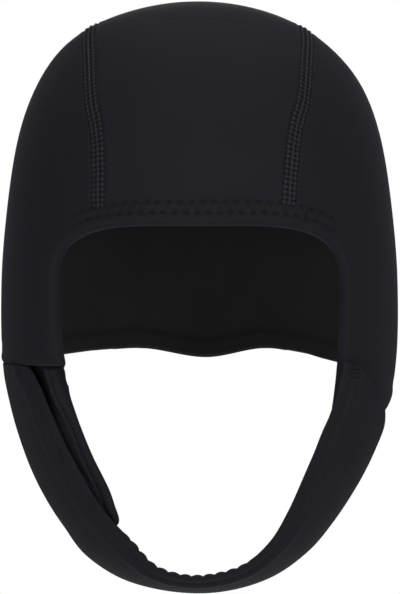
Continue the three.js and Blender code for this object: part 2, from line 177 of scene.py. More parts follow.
def bell(at, middle, width):
    t = (at - middle) / width
    return np.exp(-t * t)


def ridge(at, height, middle, width):
    return height * bell(at, middle, width)


def smooth(low, high, at):
    t = np.clip((at - low) / (high - low), 0, 1)
    return t * t * (3 - 2 * t)


# 1 between the two full values, and down to 0 outside the low and high ones
def window(low, lowFull, highFull, high, at):
    return smooth(low, lowFull, at) * (1 - smooth(highFull, high, at))


def unit(v):
    return v / np.maximum(np.linalg.norm(v, axis=-1, keepdims=True), 1e-12)


# Distance from the middle of the head to the cap's outer face, in each direction
def headRadius(d):
    f = headForm
    x, y, z = d[..., 0], d[..., 1], d[..., 2]
    reach = np.where(y < 0, f["frontReach"], f["backReach"])
    half = np.where(x > 0, f["halfWidthLeft"], f["halfWidthRight"])
    half = half * (1 - f["templeDraw"] * bell(z, *f["templeBand"]))
    power = f["profilePower"] - f["crownRounding"] * np.maximum(0, z) ** f["crownPower"]
    plan = np.abs(x / half) ** f["planPower"] + np.abs(y / reach) ** f["planPower"]
    profile = np.abs(z / np.where(z > 0, f["crownHeight"], f["jawDepth"])) ** power
    low = np.maximum(0, f["tuckStart"] - z)
    tuck = 1 - f["napeTuck"] * np.maximum(0, y) * low * low
    lean = 1 - f["crownLean"] * np.tanh(x / f["leanWidth"]) * bell(z, *f["leanBand"])
    return tuck * lean / (plan ** (power / f["planPower"]) + profile) ** (1 / power)


def headNormal(d):
    step, steepest = 2e-3, 0.8
    steep = np.abs(d[..., 2:3]) < steepest
    pole = np.where(steep, (0.0, 0, 1), (1.0, 0, 0))
    side = unit(np.cross(d, pole))
    rise = unit(np.cross(side, d))

    def near(axis, by):
        moved = unit(d + axis * by)
        return moved * headRadius(moved)[..., None]

    normal = np.cross(near(side, step) - near(side, -step), near(rise, step) - near(rise, -step))
    normal = unit(normal)
    return np.where((normal * d).sum(-1, keepdims=True) < 0, -normal, normal)


def headPoint(d, lift=0):
    point = d * headRadius(d)[..., None]
    return point + headNormal(d) * np.asarray(lift)[..., None]


# Steps in finding a place on the head: rounds for an angle, halvings between two limits
solving = {"rounds": 14, "halvings": 40, "ahead": (10.0, 130.0)}


def settled(turn, wanted, direction):
    turn, wanted = np.broadcast_arrays(np.radians(turn), np.asarray(wanted, float))
    tilt = np.zeros_like(turn)
    for _ in range(solving["rounds"]):
        d = np.stack(direction(turn, np.cos(tilt), np.sin(tilt)), -1)
        tilt = np.arcsin(np.clip(wanted / headRadius(d), -1, 1))
    return d


def directionOver(over, x):
    return settled(over, x, lambda turn, out, aside: (aside, -out * np.cos(turn), out * np.sin(turn)))


def directionAround(around, height):
    return settled(around, height, lambda turn, out, up: (out * np.sin(turn), -out * np.cos(turn), up))


def halve(low, high, isHigh):
    for _ in range(solving["halvings"]):
        middle = (low + high) / 2
        high, low = np.where(isHigh(middle), middle, high), np.where(isHigh(middle), low, middle)
    return (low + high) / 2


def directionFacing(x, z):
    def outside(ahead):
        point = np.stack([x, -ahead, z], -1)
        return np.linalg.norm(point, axis=-1) > headRadius(unit(point))

    x, z = np.broadcast_arrays(np.asarray(x, float), np.asarray(z, float))
    nearest, farthest = solving["ahead"]
    ahead = halve(np.full(x.shape, nearest), np.full(x.shape, farthest), outside)
    return unit(np.stack([x, -ahead, z], -1))


def aroundOf(point):
    return np.degrees(np.arctan2(point[..., 0], -point[..., 1])) % 360


def lowerHeight(around):
    return lookUp(lowerEdgeTable, 1, around)


def belowEdge(point):
    return point[..., 2] < lowerHeight(aroundOf(point))


def seamX(side, over):
    return lookUp(seamTable, 2 if side > 0 else 1, over)


def sideName(side):
    return "Left" if side > 0 else "Right"


def browDip(x):
    f = faceOpening
    return f["browDip"] * np.maximum(0, np.cos(x / f["browDipWidth"] * math.pi / 2)) ** 2


def browHeight(x):
    f = faceOpening
    half = np.where(np.asarray(x) > 0, f["halfWidthLeft"], f["halfWidthRight"])
    power = f["browPower"]
    return f["browHeight"] * (1 - np.abs(x / half) ** power) ** (1 / power) - browDip(x)


# The face opening's edge at an angle up from the ear
def faceEdge(side, angle):
    f = faceOpening
    angle = np.asarray(angle, float)
    up = angle > 0
    depth = np.where(up, f["browHeight"], f["cheekDepth" + sideName(side)])
    power = np.where(up, f["browPower"], f["cheekPower"])
    acrossShare = np.abs(np.cos(angle) / f["halfWidth" + sideName(side)]) ** power
    reach = 1 / (acrossShare + np.abs(np.sin(angle) / depth) ** power) ** (1 / power)
    x = reach * np.cos(angle)
    return directionFacing(side * x, reach * np.sin(angle) - np.where(up, browDip(x), 0))


# Nearest place on a path to each point: how far off it is, and how far along
def nearestOnPath(points, path, chunk=4000):
    start, step = path[:-1], path[1:] - path[:-1]
    length = np.linalg.norm(step, axis=1)
    at = lengthsOf(path)[:-1]
    flat = points.reshape(-1, 3)
    away, along = np.empty(len(flat)), np.empty(len(flat))
    for k in range(0, len(flat), chunk):
        offset = flat[k : k + chunk, None] - start[None]
        share = np.clip((offset * step).sum(-1) / np.maximum(length**2, 1e-9), 0, 1)
        gap = np.linalg.norm(offset - share[..., None] * step, axis=-1)
        best = gap.argmin(1)
        rows = np.arange(len(best))
        away[k : k + chunk] = gap[rows, best]
        along[k : k + chunk] = at[best] + share[rows, best] * length[best]
    return away.reshape(points.shape[:-1]), along.reshape(points.shape[:-1])


# Places along a line, finer near its two ends where hems and seams lie
hemStops = (0, 0.7, 1.5, 2.3, 3, 3.7, 4.4, 5.3, 6.3, 7.1, 7.6, 8.1, 8.7, 9.6, 10.8, 12.4)
seamStops = (0, 0.6, 1.2, 1.8, 2.4, 2.85, 3.15, 3.45, 3.75, 4.1, 4.7, 5.6, 6.8)


def sharesOf(length, count, startStops, endStops):
    start = np.array(startStops) / length
    end = 1 - np.array(endStops)[::-1] / length
    inner = np.linspace(start[-1], end[0], count + 1)[1:-1]
    return np.concatenate([start, inner, end])


def pathLength(points):
    return np.linalg.norm(np.diff(points, axis=0), axis=1).sum()


def lengthsOf(path):
    return np.concatenate([[0], np.cumsum(np.linalg.norm(np.diff(path, axis=0), axis=1))])


# Mesh making
sharpAngle = 65  # degrees, past which an edge is drawn sharp


def addFacts(mesh, facts, kind, key):
    for name, values in facts.items():
        layer = mesh.attributes.new(name, kind, "POINT")
        layer.data.foreach_set(key, np.asarray(values, dtype=np.float32).ravel())


def makeObject(name, vertices, faces, materials=(), faceMaterials=None, facts={}):
    mesh = bpy.data.meshes.new(name)
    mesh.from_pydata((np.asarray(vertices) * mm).tolist(), [], faces)
    for material in materials:
        mesh.materials.append(material)
    if faceMaterials is not None:
        mesh.polygons.foreach_set("material_index", faceMaterials)
    mesh.polygons.foreach_set("use_smooth", [True] * len(mesh.polygons))
    addFacts(mesh, facts, "FLOAT", "value")
    mesh.update()
    mesh.set_sharp_from_angle(angle=math.radians(sharpAngle))
    return addObject(name, mesh)


# A closed piece of cloth from an outer and an inner grid of points, with a round border. The second
# material is the lining, and paint gives the outer faces other ones than the first.
def clothPiece(name, walls, bulges, materials, facts, turns=5, paint=None, linedEdges=(), roundest=9.0):
    outer, inner = walls
    rows, columns = outer.shape[:2]
    shift = np.array([0, 0, -originHeight])
    points = [(outer + shift).reshape(-1, 3), (inner + shift).reshape(-1, 3)]
    grid = np.arange(rows * columns).reshape(rows, columns)
    quad = np.stack([grid[:-1, :-1], grid[:-1, 1:], grid[1:, 1:], grid[1:, :-1]], -1).reshape(-1, 4)
    innerQuad = quad[:, ::-1] + rows * columns
    down, across = range(rows - 1), range(columns - 1)
    ring = [(0, k) for k in across] + [(k, columns - 1) for k in down]
    ring += [(rows - 1, k + 1) for k in across[::-1]] + [(k + 1, 0) for k in down[::-1]]
    i, j = np.array(ring).T
    rimOuter, rimInner = outer[i, j], inner[i, j]
    middle = (rimOuter + rimInner) / 2
    half = np.minimum(np.linalg.norm(rimOuter - rimInner, axis=1, keepdims=True) / 2, roundest)
    push = np.zeros_like(middle)
    inwards = {"start": (i == 0, 1, 0), "end": (i == rows - 1, -1, 0)}
    inwards |= {"first": (j == 0, 0, 1), "last": (j == columns - 1, 0, -1)}
    for key, (there, di, dj) in inwards.items():
        beside = outer[np.clip(i + di, 0, rows - 1), np.clip(j + dj, 0, columns - 1)]
        push += np.where(there[:, None], unit(rimOuter - beside) * bulges.get(key, 0), 0)
    for k in range(1, turns + 1):
        angle = math.pi * k / (turns + 1)
        turned = middle + (rimOuter - middle) * math.cos(angle) + push * half * math.sin(angle)
        points.append(turned + shift)
    base, count = 2 * rows * columns, len(ring)
    rings = [base + k * count + np.arange(count) for k in range(turns)]
    rings = [grid[i, j]] + rings + [grid[i, j] + rows * columns]
    rimFaces = [np.stack([a, b, np.roll(b, -1), np.roll(a, -1)], -1) for a, b in zip(rings[:-1], rings[1:])]
    vertices = np.concatenate(points)
    faces = np.concatenate([quad, innerQuad, *rimFaces])
    a, b, c, d = (vertices[faces[:, k]] for k in range(4))
    if (a * (np.cross(b, c) + np.cross(c, d))).sum() < 0:
        faces = faces[:, ::-1]
    values = {}
    for key, grids in facts.items():
        values[key] = np.concatenate([grids.ravel(), grids.ravel(), np.tile(grids[i, j], turns)])
    faceMaterials = np.zeros(len(faces), int)
    if paint is not None:
        faceMaterials[: len(quad)] = paint[:-1, :-1].ravel()
    if len(materials) > 1:
        faceMaterials[len(quad) : 2 * len(quad)] = 1
    # the lining reaches round to the middle of these edges
    for key in linedEdges:
        turned = np.flatnonzero(inwards[key][0])
        for k in range((turns + 1) // 2, turns + 1):
            faceMaterials[2 * len(quad) + k * count + turned] = 1
    return makeObject(name, vertices, faces.tolist(), materials, faceMaterials.tolist(), values)


# Materials
# A node's output; each of its sockets takes a fixed value, or a link from another node's output
def addNode(tree, kind, sockets=(), output=0, **settings):
    node = tree.nodes.new(kind)
    for key, value in settings.items():
        setattr(node, key, value)
    for key, value in dict(sockets).items():
        if isinstance(value, bpy.types.NodeSocket):
            tree.links.new(value, node.inputs[key])
        else:
            node.inputs[key].default_value = value
    return node.outputs[output]


def mathNode(tree, operation, *values):
    return addNode(tree, "ShaderNodeMath", enumerate(values), operation=operation)


def newMaterial(name):
    material = bpy.data.materials.new(name)
    material.use_nodes = True
    return material, material.node_tree, material.node_tree.nodes["Principled BSDF"]


jerseyLook = {
    "dark": (0.0125, 0.0118, 0.0156, 1),
    "light": (0.0155, 0.0146, 0.0193, 1),
    "driftScale": 45,
    "driftDetail": 6,
    "Roughness": 0.8,
    "Specular IOR Level": 0.08,
    "Sheen Weight": 0.05,
    "Sheen Roughness": 0.45,
    "Sheen Tint": (0.78, 0.8, 0.95, 1),
    "knitPerMetre": 1500,
    "knitBump": 0.12,
    "knitDepth": 0.0003,
    "grainScale": 420,
    "grainDetail": 3,
    "needled": False,
}
liningLook = jerseyLook | {
    "dark": (0.027, 0.027, 0.0273, 1),
    "light": (0.037, 0.037, 0.0374, 1),
    "Specular IOR Level": 0.05,
    "Sheen Weight": 0.01,
    "Sheen Tint": (1, 1, 1, 1),
}
# painted highlight: the seam thread is as dark as the jersey, and its lighter tones stand in for the light
# that the raised threads catch
threadLook = jerseyLook | {
    "dark": (0.0155, 0.0148, 0.019, 1),
    "light": (0.0265, 0.0252, 0.031, 1),
    "Specular IOR Level": 0.2,
    "Roughness": 0.65,
    "Sheen Weight": 0.04,
}
hemThreadLook = threadLook | {
    "dark": (0.0125, 0.0118, 0.0156, 1),
    "light": (0.0158, 0.015, 0.0196, 1),
}
# loop cloth of the loop pad; on the tab the same matte dark cloth is also laid as painted shade of the gap
# under the strap's edge
pileAndShadeLook = liningLook | {
    "dark": (0.011, 0.0107, 0.012, 1),
    "light": (0.019, 0.0185, 0.0205, 1),
    "knitPerMetre": 800,
    "knitBump": 0.9,
    "Specular IOR Level": 0.02,
}
hookLook = pileAndShadeLook | {"knitPerMetre": 600, "knitBump": 0.6, "Specular IOR Level": 0.3}
# the needle holes' darkness is painted shade: each row's Dark share mixes the hole towards colour
# needle holes: pitch, a hole's length and width, and each row's distance from the edge with its phase
needleRows = {
    "hemPitch": 4.6,
    "hemOvals": ((3.7, 0.0), (7.8, 0.5)),
    "hemSize": (0.95, 0.85),
    "hemDark": 0.55,
    "seamPitch": 2.1,
    "seamOvals": ((1.2, 0.0), (3.05, 0.0)),
    "seamSize": (0.6, 0.42),
    "seamDark": 0.68,
    "seamClearOfHem": 8.6,
    "hemReach": 13.0,  # past this no hole of the hem shows
    "sewnFrom": 0.98,  # the share of the zigzag from which its holes show
    "depth": 0.0006,
    "colour": (0.002, 0.002, 0.0025, 1),
}


# A row of small soft ovals at a pitch along a line, one where a needle goes in
def ovalRow(tree, along, away, pitch, phase, awayAt, size):
    def do(operation, *values):
        return mathNode(tree, operation, *values)

    turn = do("ADD", do("DIVIDE", along, pitch), phase)
    first = do("MULTIPLY", do("SUBTRACT", do("FRACT", turn), 0.5), pitch / size[0])
    second = do("DIVIDE", do("SUBTRACT", away, awayAt), size[1])
    far = do("ADD", do("MULTIPLY", first, first), do("MULTIPLY", second, second))
    return do("EXPONENT", do("MULTIPLY", far, -1.0))


# Where the needle holes are, read from what clothPiece keeps on the mesh
def needleHoles(tree):
    r = needleRows
    facts = {}
    for key in ("fromHem", "alongHem", "fromSeam", "alongSeam"):
        facts[key] = addNode(tree, "ShaderNodeAttribute", output="Fac", attribute_name=key)
    hole = None
    for kind in ("Hem", "Seam"):
        pitch, size, dark = (r[kind.lower() + word] for word in ("Pitch", "Size", "Dark"))
        for awayAt, phase in r[kind.lower() + "Ovals"]:
            oval = ovalRow(tree, facts["along" + kind], facts["from" + kind], pitch, phase, awayAt, size)
            oval = mathNode(tree, "MULTIPLY", oval, dark)
            if kind == "Seam":
                clear = mathNode(tree, "GREATER_THAN", facts["fromHem"], r["seamClearOfHem"])
                oval = mathNode(tree, "MULTIPLY", oval, clear)
            hole = oval if hole is None else mathNode(tree, "MAXIMUM", hole, oval)
    return hole


# Knit jersey: rows of tiny loops and needle holes as bump, painted shade in the needle holes, and a slow
# drift in tone
def jerseyMaterial(name, settings):
    material, tree, shader = newMaterial(name)
    place = addNode(tree, "ShaderNodeTexCoord", output="Object")
    noises = []
    for kind in ("drift", "grain"):
        sockets = {"Vector": place, "Scale": settings[kind + "Scale"], "Detail": settings[kind + "Detail"]}
        noises.append(addNode(tree, "ShaderNodeTexNoise", sockets, "Fac"))
    tones = {"Factor": noises[0], "A": settings["dark"], "B": settings["light"]}
    colour = addNode(tree, "ShaderNodeMix", tones, "Result", data_type="RGBA")
    sockets = {"Vector": place, "Scale": settings["knitPerMetre"]}
    height = mathNode(tree, "ADD", addNode(tree, "ShaderNodeTexVoronoi", sockets, "Distance"), noises[1])
    knit = {"Strength": settings["knitBump"], "Distance": settings["knitDepth"], "Height": height}
    if settings["needled"]:
        hole = needleHoles(tree)
        pits = {"Strength": 1, "Distance": needleRows["depth"], "Height": hole}
        knit["Normal"] = addNode(tree, "ShaderNodeBump", pits, invert=True)
        # painted shade in the needle holes
        tones = {"Factor": hole, "A": colour, "B": needleRows["colour"]}
        colour = addNode(tree, "ShaderNodeMix", tones, "Result", data_type="RGBA")
    tree.links.new(colour, shader.inputs["Base Color"])
    tree.links.new(addNode(tree, "ShaderNodeBump", knit), shader.inputs["Normal"])
    for key, value in settings.items():
        if key in shader.inputs:
            shader.inputs[key].default_value = value
    return material


jersey = jerseyMaterial("jersey", jerseyLook | {"needled": True})
plainJersey = jerseyMaterial("plainJersey", jerseyLook)
lining = jerseyMaterial("lining", liningLook)
thread = jerseyMaterial("thread", threadLook)
hemThread = jerseyMaterial("hemThread", hemThreadLook)
loopPileAndShade = jerseyMaterial("loopPileAndShade", pileAndShadeLook)
hookTape = jerseyMaterial("hookTape", hookLook)
print("materials made")


# Crown
# a relief of three numbers is its height, how far its middle lies from the edge or seam, and its width
crownRelief = {
    "hemPuff": (0.5, 1.4, 1.9),
    "stitchRows": (3.7, 7.8),
    "stitchDip": 0.5,
    "stitchDipWidth": 0.9,
    "betweenRows": (0.2, 5.75, 1.3),
    "besideRows": (0.15, 10.6, 1.4),
    "faintLine": (0.14, 7, 1),
    "hemEnds": (8.7, 10.2),
    "seamBand": 3.3,
    "seamDrop": 0.25,
    "seamStep": (-0.4, 0.5),
    "seamLine": 0.3,
    "seamLineWidth": 0.35,
    "seamShoulder": (0.15, 4.7, 0.9),
    "unevenness": 0.25,
    "waves": ((0, 17, 1.3), (1, 21, 0.4), (2, 19, 2.1)),
    "crease": 0.45,
    "creaseRidge": (0.8, -57, 1.2),
    "creaseGroove": (-54.3, 1.1),
    "creaseSpan": (-17, -10, 14, 23),
    "creaseAbove": 80,
}


# A slow unevenness: each wave has an axis, a length and a phase
def slowWaves(point, height, waves):
    for axis, length, phase in waves:
        height = height * np.sin(point[..., axis] / length + phase)
    return height


# How far the outer face stands off the plain head form, from the distances to its hem and seam
def clothRelief(fromHem, sewn, fromSeam, point):
    r = crownRelief
    dips = sum(bell(fromHem, row, r["stitchDipWidth"]) for row in r["stitchRows"])
    between = ridge(fromHem, *r["betweenRows"]) + ridge(fromHem, *r["besideRows"])
    lift = ridge(fromHem, *r["hemPuff"]) + sewn * (between - r["stitchDip"] * dips)
    faintDepth, *faintPlace = r["faintLine"]
    lift = lift - (1 - sewn) * faintDepth * bell(fromHem, *faintPlace)
    ended = smooth(*r["hemEnds"], fromHem)
    sunk = 1 - smooth(r["seamBand"] + r["seamStep"][0], r["seamBand"] + r["seamStep"][1], fromSeam)
    lift = lift - r["seamDrop"] * ended * sunk
    lift = lift - r["seamLine"] * ended * bell(fromSeam, r["seamBand"], r["seamLineWidth"])
    lift = lift + ridge(fromSeam, *r["seamShoulder"])
    lift = lift + slowWaves(point, r["unevenness"], r["waves"])
    crease = ridge(point[..., 1], *r["creaseRidge"]) - bell(point[..., 1], *r["creaseGroove"])
    creased = window(*r["creaseSpan"], point[..., 0]) * (point[..., 2] > r["creaseAbove"])
    return lift + r["crease"] * creased * crease


def hemmedWall(fromHem, point):
    c = cloth
    extra = c["hemWall"] - c["wall"] - c["napeThinning"] * smooth(*c["napeSpan"], point[..., 1])
    foldStart, foldStop = (c["hemWidth"] + by for by in c["foldEnd"])
    return c["wall"] + extra * (1 - smooth(foldStart, foldStop, fromHem))


# Where the crown's edges are looked for, in degrees over the head or in radians below the ear
edgeSearch = {
    "seamBrow": (5.0, 40.0),
    "seamNape": (160.0, 225.0),
    "centreNape": (150.0, 225.0),
    "cheek": (0.05, 1.2),
}


def search(key, isPast, shape=()):
    low, high = edgeSearch[key]
    return halve(np.full(shape, low), np.full(shape, high), isPast)


def seamDirection(side, gap, over):
    return directionOver(over, seamX(side, over) + gap)


def seamEnds(side, gap):
    def aboveBrow(over):
        return headPoint(seamDirection(side, gap, over))[..., 2] > browHeight(seamX(side, over) + gap)

    def belowNape(over):
        return belowEdge(headPoint(seamDirection(side, gap, over)))

    return float(search("seamBrow", aboveBrow)), float(search("seamNape", belowNape))


def topAngle(side):
    first = headPoint(seamDirection(side, 0, seamEnds(side, 0)[0]))
    return math.atan2(first[2] + float(browDip(first[0])), abs(first[0]))


def lowAngle(side):
    return -float(search("cheek", lambda angle: belowEdge(headPoint(faceEdge(side, -angle)))))


# the face opening's edge runs from the wearer's right ear over the brow, and the lower edge round the back
edgePaths = {
    "seamPoints": 700,
    "cheekPoints": 240,
    "brow": (-40.5, 36.3, 170),
    "lowerPoints": 700,
    "browPart": slice(180, -180),  # the part of the face opening's points in which x only grows
    "faceZigzag": (-48, 54),  # x of its ends
    "lowerZigzag": (98, 262),  # degrees round the head of its ends
    "zigzagFade": 4,
}


def seamPath(side):
    over = np.linspace(*seamEnds(side, 0), edgePaths["seamPoints"])
    return headPoint(seamDirection(side, 0, over))


def facePoints():
    count = edgePaths["cheekPoints"]
    brow = np.linspace(*edgePaths["brow"])
    right = faceEdge(-1, np.linspace(lowAngle(-1), topAngle(-1), count))
    left = faceEdge(1, np.linspace(topAngle(1), lowAngle(1), count))
    return headPoint(np.concatenate([right, directionFacing(brow, browHeight(brow))[1:-1], left]))


seamLines = {side: seamPath(side) for side in (-1, 1)}
facePath = facePoints()
lowerEnds = aroundOf(facePath[[-1, 0]])
lowerSteps = np.linspace(*lowerEnds, edgePaths["lowerPoints"])
lowerPath = headPoint(directionAround(lowerSteps, lowerHeight(lowerSteps)))
browPart = edgePaths["browPart"]
# where each zigzag starts and ends, in millimetres along its edge
zigzagSpans = {
    "face": np.interp(edgePaths["faceZigzag"], facePath[browPart, 0], lengthsOf(facePath)[browPart]),
    "lower": np.interp(edgePaths["lowerZigzag"], lowerSteps, lengthsOf(lowerPath)),
}


# How far off the nearest of some paths is, how far along it, and whether it is the first
def nearestOf(plain, paths):
    away, along = nearestOnPath(plain, paths[0])
    isFirst = np.ones(away.shape, bool)
    for path in paths[1:]:
        nextAway, nextAlong = nearestOnPath(plain, path)
        isFirst &= away < nextAway
        along = np.where(nextAway < away, nextAlong, along)
        away = np.minimum(away, nextAway)
    return away, along, isFirst


# The outer face of the crown on its directions, and the facts that it and its needle holes come from
def crownFace(d, sides):
    plain = headPoint(d)
    fromHem, alongHem, onFace = nearestOf(plain, (facePath, lowerPath))
    fromSeam, alongSeam, _ = nearestOf(plain, [seamLines[side] for side in sides])
    sewn = sewnShare(alongHem, onFace)
    facts = {"fromHem": fromHem, "alongHem": alongHem, "fromSeam": fromSeam, "alongSeam": alongSeam}
    return headPoint(d, clothRelief(fromHem, sewn, fromSeam, plain)), plain, sewn, facts


def sewnShare(alongHem, onFace):
    fade = edgePaths["zigzagFade"]
    share = np.zeros(alongHem.shape)
    for name, there in (("face", onFace), ("lower", ~onFace)):
        low, high = zigzagSpans[name]
        share = np.where(there, window(low - fade, low, high, high + fade, alongHem), share)
    return share


def crownPanel(name, d, sides, bulging):
    outer, plain, sewn, facts = crownFace(d, sides)
    fromHem, reach = facts["fromHem"], needleRows["hemReach"]
    inner = headPoint(d, -hemmedWall(fromHem, plain))
    facts["fromHem"] = np.where((sewn > needleRows["sewnFrom"]) | (fromHem > reach), fromHem, reach)
    bulges = dict.fromkeys(bulging, panelGrid["bulge"])
    return clothPiece(name, (outer, inner), bulges, (jersey, lining), facts, linedEdges=("end", "last"))


# grids have a length in millimetres and a count between the finer ends
panelGrid = {
    "bulge": 0.7,
    "centreAcross": (86, 34),
    "centreAlong": (325, 260),
    "sideAlong": (300, 110),
    "sideAcross": 46,
    "sideSamples": 25,
    "sideCorner": {1: 147, -1: 213},  # degrees round the head
}


def crownCentre():
    gaps = {side: -side * cloth["seamGap"] / 2 for side in (-1, 1)}
    ends = {side: seamEnds(side, gaps[side]) for side in (-1, 1)}

    def between(overRight, overLeft, share):
        right, left = seamX(-1, overRight) + gaps[-1], seamX(1, overLeft) + gaps[1]
        return right * (1 - share) + left * share

    def isPastNape(over):
        return belowEdge(headPoint(directionOver(over, endX)))

    across = sharesOf(*panelGrid["centreAcross"], seamStops, seamStops)
    along = sharesOf(*panelGrid["centreAlong"], hemStops, hemStops)[:, None]
    startX, endX = (between(ends[-1][k], ends[1][k], across) for k in (0, 1))
    brow = directionFacing(startX, browHeight(startX))
    start = np.degrees(np.arctan2(brow[..., 2], -brow[..., 1]))
    end = search("centreNape", isPastNape, endX.shape)
    over = start[None] * (1 - along) + end[None] * along
    d = directionOver(over, between(over, over, across[None]))
    return crownPanel("crown_centre", d, (-1, 1), ("start", "end"))


def crownSide(side):
    gap = side * cloth["seamGap"] / 2
    startOver, endOver = seamEnds(side, gap)
    high, low = topAngle(side), lowAngle(side)
    cornerAround = panelGrid["sideCorner"][side]

    def seam(s):
        return seamDirection(side, gap, startOver + (endOver - startOver) * s)

    def front(t):
        return faceEdge(side, high + (low - high) * t)

    def lower(around, share):
        around = around + (cornerAround - around) * share
        return directionAround(around, lowerHeight(around))

    first, last = np.array(0.0), np.array(1.0)
    frontAround = float(aroundOf(front(last)))
    napeAround = float(aroundOf(seam(last)))
    corners = [seam(first), seam(last), lower(frontAround, first), lower(frontAround, last)]

    def place(s, t):
        s, t = np.broadcast_arrays(s, t)
        a, b = s[..., None], t[..., None]
        total = seam(s) * (1 - b) + lower(frontAround, s) * b
        total = total + front(t) * (1 - a) + lower(napeAround, t) * a
        total = total - corners[0] * (1 - a) * (1 - b) - corners[1] * a * (1 - b)
        return unit(total - corners[2] * (1 - a) * b - corners[3] * a * b)

    fullLength, rows = panelGrid["sideAlong"]
    nominal = sharesOf(fullLength, rows, hemStops, hemStops)
    fine = np.linspace(0, 1, panelGrid["sideSamples"])
    columnLength = np.array([pathLength(headPoint(place(s, fine))) for s in nominal])
    rowLength = np.array([pathLength(headPoint(place(fine, t))) for t in fine])
    columns = panelGrid["sideAcross"]
    t = np.stack([sharesOf(length, columns, seamStops, hemStops) for length in columnLength])
    length = np.interp(t, fine, rowLength)
    # the finer end places keep their distance in millimetres whatever the row's length
    count = len(hemStops)
    s = np.repeat(nominal[:, None], t.shape[1], 1)
    stops = np.array(hemStops)
    s[:count] = stops[:, None] / length[:count]
    s[-count:] = 1 - stops[::-1, None] / length[-count:]
    ramp = np.linspace(0, 1, rows + 1)[1:-1, None]
    s[count:-count] = s[count - 1] + (s[-count] - s[count - 1]) * ramp
    name = "crown_side_" + sideName(side).lower()
    return crownPanel(name, place(s, t), (side,), ("start", "end", "last"))


centrePiece = crownCentre()
leftPiece = crownSide(1)
rightPiece = crownSide(-1)
print("crown made")


# Chin strap and tab
# places along the run count its rows, and places across it are shares of its width
runShape = {
    "alongStep": 0.02,
    "acrossStep": 0.01,
    "offFlap": (-62, -47),  # heights between which the sewn end starts to stand off the flap
    "offFlapTo": 3,
    "softness": 1.2,
    "steepest": 20,
    "tuckSlant": 1.06,
    "tuckGaps": 1.6,
    "tuckSpan": (-41, -31),
}
strapShape = {
    "rows": 340,
    "end": 16.06,
    "wall": 2.8,
    "cornerFrom": 15.6,
    "cornerShare": 0.12,
    "across": (50, 34),
    "frontStops": (0, 0.6, 1.3, 2.1, 3, 3.8, 4.5, 5.2, 5.9, 6.8, 7.8, 8.8, 9.8, 11, 12.4),
    "backStops": (0, 0.7, 1.5, 2.4, 3.2, 4, 5, 6.5),
    "bulges": {"start": 0.8, "end": 0.8, "first": 0.9, "last": 0.9},
    "edgeDrop": 1.5,
    "edgeBand": 7.5,
    "edgePower": 1.6,
    "groove": (-0.65, 4.3, 1.1),
    "crest": (0.55, 8.2, 2.6),
    "backGroove": (-0.3, 3.4, 0.9),
    "unevenness": 0.25,
    "waves": ((0, 11, 0.7), (2, 13, 0)),
}
scallopShape = {
    "pitch": 5.2,
    "depth": 0.85,
    "from": 5.9,
    "to": 10.15,
    "fade": 0.5,
    "wobble": 0.35,
    "wobbleLength": 9,
    "roundness": 0.7,
    "middle": 0.55,
    "reach": 2.2,
    "outward": 0.8,
    "sideways": 0.6,
}
tabShape = {
    "rows": 220,
    "from": 10.6,
    "to": 16.8,
    "backEdge": 0.93,
    "wall": 2.5,
    "cornerFrom": 11.25,
    "cornerShare": 0.15,
    "across": (50, 30),
    "frontStops": (0, 0.5, 1, 1.5, 2, 2.5, 3, 3.5, 4, 4.5, 5, 5.5, 6, 6.6, 7.3, 8.2, 9.5),
    "backStops": (0, 0.8, 1.8, 3, 4.5),
    "bulges": {"start": 0.7, "end": 0.7, "first": 0.9, "last": 0.9},
    "roundest": 1.25,
    "puff": (0.3, 0.8, 1.2),
    "groove": (-0.75, 2.9, 0.75),
    "ridge": (0.4, 4.5, 0.65),
    "flush": 4.4,
    "flushSpan": (-54, -31, -28.2, -27.5),
    "flushWidth": (4.8, 6.8),
    "pileAndShadeFrom": 5.6,
    "pileAndShadeLow": 13.3,
    "pileAndShadeFull": 14.6,
    "pileAndShadeTaper": 5,
}
padShape = {
    "rows": 90,
    "columns": 60,
    "wall": 0.9,
    "loop": (11, 14.5),
    "hook": (11.1, 14.6),
    "insets": ((11, 12, 12.7, 14.5), (0.05, 0.1, 0.2, 0.34)),
    "front": 0.13,
    "back": 0.86,
    "rough": (0.06, 97.0, 151.0),
    "sunk": 0.06,
}
tabDepth = strapShape["wall"] + 2 * padShape["wall"] + 3 * cloth["layerGap"]
runRails = [np.array([row[k] for row in chinRun], float) for k in range(3)]
tabFronts = np.array([row[3] for row in chinRun], float)[:, None]


def runValue(values, at):
    last = len(values) - 1
    i = np.clip(np.floor(at).astype(int), 0, last - 1)
    t = (at - i)[..., None]
    p, q, r, w = (values[np.clip(i + k, 0, last)] for k in (-1, 0, 1, 2))
    return q + 0.5 * t * (r - p + t * (2 * p - 5 * q + 4 * r - w + t * (3 * (q - r) + w - p)))


def tabFront(at):
    return runValue(tabFronts, at)[:, 0]


def runFace(at, across):
    c = runShape
    at, across = np.broadcast_arrays(np.asarray(at, float), np.asarray(across, float))
    front, middle, back = (runValue(rail, at) for rail in runRails)
    v = across[..., None]
    point = front * (1 - v) * (1 - 2 * v) + middle * 4 * v * (1 - v) + back * v * (2 * v - 1)
    reach = np.linalg.norm(point, axis=-1)
    rest = headRadius(unit(point)) + strapShape["wall"] + cloth["layerGap"] * 2
    over = np.minimum((rest - reach) / c["softness"], c["steepest"])
    push = c["softness"] * np.log1p(np.exp(over))
    hold = smooth(*c["offFlap"], point[..., 2]) * (at < c["offFlapTo"])
    return point * ((reach + push * hold) / reach)[..., None]


def runAlong(at, across):
    step = runShape["alongStep"]
    return runFace(at + step, across) - runFace(at - step, across)


def runAcross(at, across):
    step = runShape["acrossStep"]
    return runFace(at, across + step) - runFace(at, across - step)


def runNormal(at, across):
    return unit(np.cross(runAlong(at, across), runAcross(at, across)))


def runLayer(at, across, depth):
    return runFace(at, across) - runNormal(at, across) * np.asarray(depth)[..., None]


